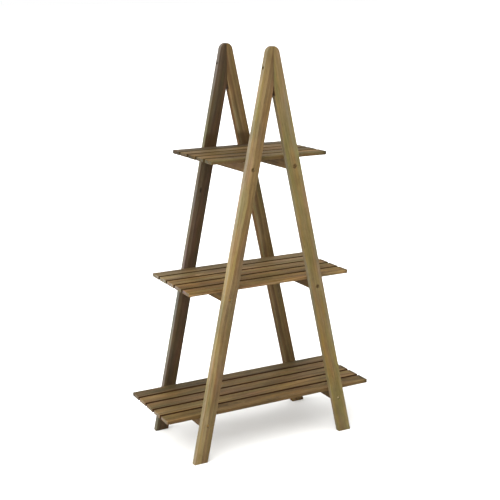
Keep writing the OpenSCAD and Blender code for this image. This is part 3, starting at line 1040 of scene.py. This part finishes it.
class LADDER_OT_bearers(Operator):
    """Gives the six bearers their timber"""

    bl_idname = "ladder.bearers"
    bl_label = "Dress Bearers"

    def execute(self, context):
        stand = context.scene.ladder_stand
        look = stand.bearers
        tints = [look.heart, look.vein, look.sap, look.heart, stand.legs.end, stand.legs.stain]
        for i, shelf in enumerate(SHELVES):
            for j, side in enumerate(SIDES):
                node = f"{shelf}_{side}_bearer"
                size = size_of(node)
                material = oiled_timber(
                    f"oiled acacia, {shelf} {side} bearer",
                    stand.grain,
                    tints,
                    middle=middle_of(node),
                    turn=(0, 0, math.pi / 2),
                    half_size=(size.y / 2 / MM, size.x / 2 / MM, size.z / 2 / MM),
                    pith=(0, 40, 50),
                    sap_start=76.5 + 10 * j,
                    seed=20.0 + 3.7 * i + 1.9 * j,
                    tone=getattr(look, f"{side}_tones")[i],
                    weathering=look.weathering[i],
                    figure=0.3,
                )
                dress(node, material)
        return {"FINISHED"}


SLAT_SEEDS = {
    "bottom": (163.0, 45.4, 48.1, 251.3, 93.6),
    "middle": (185.7, 134.9, 57.4, 73.5, 143.0),
    "top": (235.1, 130.8, 66.7, 122.9, 85.5),
}
BRIGHT_SLAT = ("middle", 1)  # its front was planed into golden sapwood


class LADDER_OT_slats(Operator):
    """Makes the slats of the three shelves and gives them their timber"""

    bl_idname = "ladder.slats"
    bl_label = "Make Slats"

    def execute(self, context):
        stand = context.scene.ladder_stand
        look = stand.slats
        for i, shelf in enumerate(SHELVES):
            for wood, numbers in SLATS_BY_WOOD.items():
                nodes = [f"{shelf}_slat_{n}" for n in numbers]
                size = size_of(nodes[0])
                middles = [middle_of(n) for n in nodes]
                rows = {what: getattr(look, f"{shelf}_{what}") for what in SLAT_ROWS}
                tones, casts, weathering, ends = (
                    [rows[what][n - 1] for n in numbers] for what in SLAT_ROWS
                )
                tints = [getattr(look, f"{wood}_heart"), getattr(look, f"{wood}_vein"), look.sap]
                tints += [getattr(look, f"{shelf}_{what}") for what in SHELF_TINTS]
                material = oiled_timber(
                    f"oiled acacia, {shelf} {wood} slats",
                    stand.grain,
                    tints,
                    stain=gap_stain,
                    middle="board_middle",
                    turn=(0, 0, 0),
                    half_size=tuple(size / 2 / MM),
                    pith=(0, 14, -38),
                    sap_start=63.5,
                    seed="board_seed",
                    tone="board_tone",
                    flank_tone="board_flank",
                    end_tone="board_end",
                    cast="board_cast",
                    rise=look.rises[i],
                    weathering="board_weathering",
                    figure=0.65,
                    patchiness=0.65,
                    hue_drift=1.3,
                )
                piece = grow(
                    f"{shelf}_slats_{wood}",
                    eased_boards(),
                    middles,
                    {
                        "Length": size.x,
                        "Width": size.y,
                        "Thickness": size.z,
                        "Edge Radius": look.edge_radius,
                        "Edge Wander": look.edge_wander,
                        "Wander Pitch": look.wander_pitch,
                        "Seed": float(i) + 0.5 * (wood == "red"),
                        "Material": material,
                    },
                    board_middle=middles,
                    board_seed=[SLAT_SEEDS[shelf][n - 1] for n in numbers],
                    board_tone=tones,
                    board_cast=casts,
                    board_weathering=weathering,
                    board_flank=[
                        look.bright_flank if (shelf, n) == BRIGHT_SLAT else 1.0 for n in numbers
                    ],
                    board_end=ends,
                )
                stand_for(piece, f"slat_wood_{wood}", *nodes)
        return {"FINISHED"}


WIPED_SCREW = ("bottom", (1, -1))  # the flat head whose zinc shows: front right, lowest
CORNERS = [(x_side, y_side) for x_side in (-1, 1) for y_side in (-1, 1)]
APEX_PLAIN = 0.35  # share of an apex screw that has no thread


class LADDER_OT_leg_screws(Operator):
    """Makes the flat-headed screws: twelve that hold the bearers and two across the apexes"""

    bl_idname = "ladder.leg_screws"
    bl_label = "Make Leg Screws"

    def execute(self, context):
        screws = context.scene.ladder_stand.screws
        steel = plated_steel("yellow zinc-plated steel, leg screws", screws.steel, screws.tarnish)
        films = {-1: screws.left_films, 1: screws.right_films}
        tree = fitted_screws("Flat Head Screws", cross=False)
        sizes = {
            "Head Width": HEAD_W,
            "Seat Width": HEAD_W,
            "Head Height": screws.head_height,
            "Rim": screws.head_rim,
            "Shank Width": screws.shank_width,
            "Shank Length": screws.shank_length,
            "Plain Length": screws.plain_length,
            "Pitch": screws.pitch,
            "Rows": 100,
            "Drive Width": screws.drive_width,
            "Drive Depth": screws.drive_depth,
            "Material": steel,
        }
        for i, shelf in enumerate(SHELVES):
            node = f"{shelf}_leg_screws"
            x, z, _ = screw_row(node)
            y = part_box(node)[1].y
            piece = grow(
                f"{shelf}_flat_screws",
                tree,
                [(x_side * x, y_side * y, z) for x_side, y_side in CORNERS],
                {**sizes, "Seed": i},
                aim=[(0, y_side, 0) for _, y_side in CORNERS],
                screw_shine=[
                    screws.wiped_shine if (shelf, corner) == WIPED_SCREW else 0.0 for corner in CORNERS
                ],
                screw_film=[films[x_side][i] for x_side, _ in CORNERS],
            )
            stand_for(piece, "screw_steel", node)
        for i, end in enumerate(ENDS):
            node = f"{end}_apex_screw"
            low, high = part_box(node)
            middle = middle_of(node)
            full = high.x - low.x
            piece = grow(
                f"{end}_apex_flat_screw",
                tree,
                [(low.x, middle.y, middle.z)],
                {
                    **sizes,
                    "Shank Length": full - screws.head_height,
                    "Plain Length": full * APEX_PLAIN,
                    "Rows": 70,
                    "Seed": 10 + i,
                },
                aim=[(-1, 0, 0)],
                screw_shine=[0.0],
                screw_film=[screws.apex_film],
            )
            stand_for(piece, "screw_steel", node)
        return {"FINISHED"}


class LADDER_OT_slat_screws(Operator):
    """Makes the countersunk screws that hold the slats from below"""

    bl_idname = "ladder.slat_screws"
    bl_label = "Make Slat Screws"

    def execute(self, context):
        screws = context.scene.ladder_stand.screws
        steel = plated_steel("yellow zinc-plated steel, slat screws", screws.steel, screws.tarnish)
        tree = fitted_screws("Countersunk Screws", cross=True)
        for i, shelf in enumerate(SHELVES):
            node = f"{shelf}_slat_screws"
            low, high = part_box(node)
            rows = [middle_of(f"{shelf}_slat_{n}").y for n in SLATS]
            head_w = high.y - low.y - (rows[-1] - rows[0])
            head_h = (head_w - screws.slat_shank_width) / 2
            x = high.x - head_w / 2
            points = [(x_side * x, y, low.z) for x_side in (-1, 1) for y in rows]
            piece = grow(
                f"{shelf}_countersunk_screws",
                tree,
                points,
                {
                    "Head Width": head_w,
                    "Seat Width": screws.slat_shank_width,
                    "Head Height": head_h,
                    "Rim": screws.slat_rim,
                    "Shank Width": screws.slat_shank_width,
                    "Shank Length": high.z - low.z - head_h,
                    "Plain Length": screws.slat_plain_length,
                    "Pitch": screws.slat_pitch,
                    "Rows": 80,
                    "Drive Width": screws.cross_width,
                    "Drive Arm": screws.cross_arm,
                    "Drive Depth": screws.cross_depth,
                    "Seed": 20 + i,
                    "Material": steel,
                },
                aim=[(0, 0, -1)] * len(points),
                screw_shine=[screws.clean_shine] * len(points),
                screw_film=[screws.slat_film] * len(points),
            )
            stand_for(piece, "screw_steel", node)
        return {"FINISHED"}


class LADDER_OT_dowels(Operator):
    """Makes the two fluted dowels inside the mitred apexes"""

    bl_idname = "ladder.dowels"
    bl_label = "Make Dowels"

    def execute(self, context):
        stand = context.scene.ladder_stand
        screws = stand.screws
        beech, flecks = screws.beech, screws.beech_vein
        for i, end in enumerate(ENDS):
            node = f"{end}_apex_dowel"
            size = size_of(node)
            middle = middle_of(node)
            material = oiled_timber(
                f"turned beech, {end} dowel",
                stand.grain,
                [beech, flecks, beech, beech, flecks, beech],
                middle=middle,
                turn=(0, 0, 0),
                half_size=tuple(size / 2 / MM),
                pith=(0, 30, 20),
                sap_start=500,
                seed=60.0 + i,
                tone=0.5,
                figure=0.6,
            )
            values = {
                "Width": size.y,
                "Length": size.x,
                "Flutes": screws.flutes,
                "Flute Depth": screws.flute_depth,
                "Chamfer": screws.dowel_chamfer,
                "Material": material,
            }
            piece = grow(f"{end}_fluted_dowel", fluted_dowels(), [middle], values)
            stand_for(piece, "dowel_wood", node)
        return {"FINISHED"}


# Camera that saw the photograph: its place, and its heading from +Y towards +X, tilt and roll
CAMERA_PLACE = (-1.43796, -2.70132, 1.32407)
CAMERA_HEADING, CAMERA_TILT, CAMERA_ROLL = 28.03, -13.58, -0.65
FLOOR_REACH = 400.0  # metres, so that its far edge is on the horizon


class LADDER_OT_stage(Operator):
    """Sets a plain pale floor, soft studio light and the camera"""

    bl_idname = "ladder.stage"
    bl_label = "Set Stage"

    def execute(self, context):
        scene = context.scene
        look = scene.ladder_stand.stage

        # Matt seamless paper, so hardly any gloss
        paper, add = new_material("matt seamless paper")
        sheen = {"Base Color": look.paper, "Roughness": 0.95, "Specular IOR Level": 0.1}
        shader = add("ShaderNodeBsdfPrincipled", sheen)
        add("ShaderNodeOutputMaterial", {"Surface": shader})
        mesh = bpy.data.meshes.new("floor")
        corners = [(-1, -1), (1, -1), (1, 1), (-1, 1)]
        corners = [(x * FLOOR_REACH, y * FLOOR_REACH, 0) for x, y in corners]
        mesh.from_pydata(corners, [], [(0, 1, 2, 3)])
        mesh.materials.append(paper)
        floor = bpy.data.objects.new("floor", mesh)
        scene.collection.objects.link(floor)

        # A wide lamp far to the left and one overhead, each as soft as a big diffuser
        for name, strength, width, towards in (
            ("key softbox", look.key, 90, (0.85, 0.35, -0.42)),
            ("top softbox", look.top, 140, (0.05, 0.25, -0.97)),
        ):
            lamp = bpy.data.lights.new(name, "SUN")
            lamp.energy = strength
            lamp.angle = math.radians(width)
            holder = bpy.data.objects.new(name, lamp)
            holder.rotation_mode = "QUATERNION"
            holder.rotation_quaternion = Vector(towards).to_track_quat("-Z", "Y")
            scene.collection.objects.link(holder)
        world = bpy.data.worlds.new("white studio")
        world.use_nodes = True
        background = world.node_tree.nodes["Background"]
        background.inputs["Color"].default_value = (1, 1, 1, 1)
        background.inputs["Strength"].default_value = look.sky
        scene.world = world
        scene.view_settings.view_transform = "Standard"  # colours come out as they are set

        lens = bpy.data.cameras.new("camera")
        lens.sensor_width = 36
        lens.lens = look.lens
        lens.clip_start, lens.clip_end = 0.05, 2 * FLOOR_REACH
        camera = bpy.data.objects.new("camera", lens)
        heading, tilt, roll = (math.radians(a) for a in (CAMERA_HEADING, CAMERA_TILT, CAMERA_ROLL))
        camera.matrix_world = (
            Matrix.Translation(CAMERA_PLACE)
            @ Matrix.Rotation(-heading, 4, "Z")
            @ Matrix.Rotation(math.pi / 2 + tilt, 4, "X")
            @ Matrix.Rotation(roll, 4, "Z")
        )
        scene.collection.objects.link(camera)
        scene.camera = camera
        return {"FINISHED"}


class LADDER_PT_stand(Panel):
    """Lists the pieces of the stand and the settings that they use"""

    bl_idname = "LADDER_PT_stand"
    bl_label = "Plant Ladder Stand"
    bl_space_type = "VIEW_3D"
    bl_region_type = "UI"
    bl_category = "Ladder Stand"

    def draw(self, context):
        layout = self.layout
        stand = context.scene.ladder_stand
        for operator in OPERATORS:
            layout.operator(operator.bl_idname)
        for name in stand.bl_rna.properties.keys():
            if name in ("rna_type", "name"):
                continue
            box = layout.box()
            box.label(text=name.title())
            group = getattr(stand, name)
            for setting in group.bl_rna.properties.keys():
                if setting not in ("rna_type", "name"):
                    box.prop(group, setting)


SETTINGS = (
    LadderGrain,
    LadderLegs,
    LadderBearers,
    LadderSlats,
    LadderScrews,
    LadderStage,
    LadderStand,
)
OPERATORS = (
    LADDER_OT_stage,
    LADDER_OT_legs,
    LADDER_OT_bearers,
    LADDER_OT_slats,
    LADDER_OT_leg_screws,
    LADDER_OT_slat_screws,
    LADDER_OT_dowels,
)


def register():
    for made in (*SETTINGS, *OPERATORS, LADDER_PT_stand):
        bpy.utils.register_class(made)
    bpy.types.Scene.ladder_stand = PointerProperty(type=LadderStand)


def unregister():
    del bpy.types.Scene.ladder_stand
    for made in reversed((*SETTINGS, *OPERATORS, LADDER_PT_stand)):
        bpy.utils.unregister_class(made)


def main():
    register()
    for operator in OPERATORS:
        group, name = operator.bl_idname.split(".")
        getattr(getattr(bpy.ops, group), name)()


if __name__ == "__main__":
    main()
